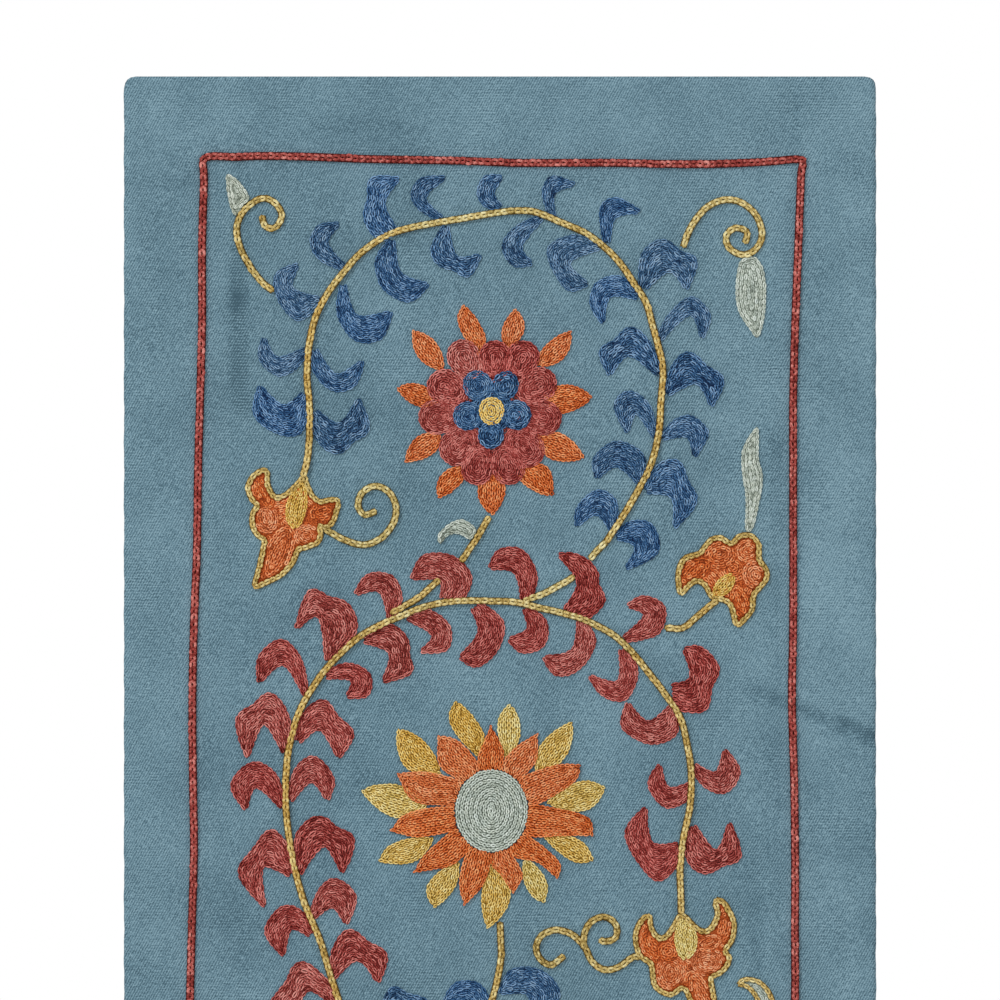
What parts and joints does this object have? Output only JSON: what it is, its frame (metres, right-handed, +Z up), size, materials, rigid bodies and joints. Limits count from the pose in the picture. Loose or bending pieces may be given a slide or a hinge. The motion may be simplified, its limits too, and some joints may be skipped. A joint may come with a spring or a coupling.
{
  "type": "embroidered wall hanging",
  "caption": "Long narrow cloth wall hanging with stitched vines, hooked leaves and round flowers inside a line border; it hangs from its top edge.",
  "frame": {"origin": "middle of the top edge, at mid thickness of the cloth there", "axes": "+Z up along the panel's length, X across its width, the worked face towards -Y"},
  "size_m": [0.4006, 0.0105, 0.7811],
  "materials": {
    "twill_cloth": "matt blue cotton twill",
    "gold_thread": "soft sheen of silk thread, gold",
    "blue_thread": "soft sheen of silk thread, dark blue",
    "red_thread": "soft sheen of silk thread, brick red",
    "orange_thread": "soft sheen of silk thread, orange",
    "yellow_thread": "soft sheen of silk thread, yellow",
    "pale_thread": "soft sheen of silk thread, pale grey green"
  },
  "bodies": {
    "root": {"arch_1_leaves": "blue_thread", "arch_1_stem": "gold_thread", "arch_1_stem_foot": "gold_thread", "arch_2_leaves": "red_thread", "arch_2_stem": "gold_thread", "arch_3_leaves": "blue_thread", "arch_3_stem": "gold_thread", "carnation_1_calyx": "yellow_thread", "carnation_1_fill": "orange_thread", "carnation_1_outline": "gold_thread", "carnation_2_calyx": "yellow_thread", "carnation_2_fill": "orange_thread", "carnation_2_outline": "gold_thread", "carnation_3_calyx": "yellow_thread", "carnation_3_fill": "orange_thread", "carnation_3_outline": "gold_thread", "carnation_4_calyx": "yellow_thread", "carnation_4_fill": "orange_thread", "carnation_4_outline": "gold_thread", "crescent_fill": "pale_thread", "crescent_outline": "gold_thread", "curl_1": "gold_thread", "curl_3": "gold_thread", "curl_4": "gold_thread", "curl_top_left": "gold_thread", "curl_top_right": "gold_thread", "field_border": "red_thread", "ground_cloth": "twill_cloth", "leaf_right_lower": "pale_thread", "leaf_right_upper": "pale_thread", "leaf_small": "pale_thread", "leaf_top_left": "pale_thread", "rosette_1_disc": "yellow_thread", "rosette_1_flower": "blue_thread", "rosette_1_petals": "orange_thread", "rosette_1_ring": "red_thread", "rosette_2_disc": "pale_thread", "rosette_2_inner_petals": "orange_thread", "rosette_2_outer_petals": "yellow_thread", "rosette_3_disc": "yellow_thread", "rosette_3_flower": "blue_thread", "rosette_3_petals": "orange_thread", "rosette_3_ring": "red_thread", "stalk_1_high": "gold_thread", "stalk_1_low": "gold_thread", "stalk_2": "gold_thread", "stalk_3": "gold_thread", "stalk_carnation_2": "gold_thread"}
  },
  "joints": []
}
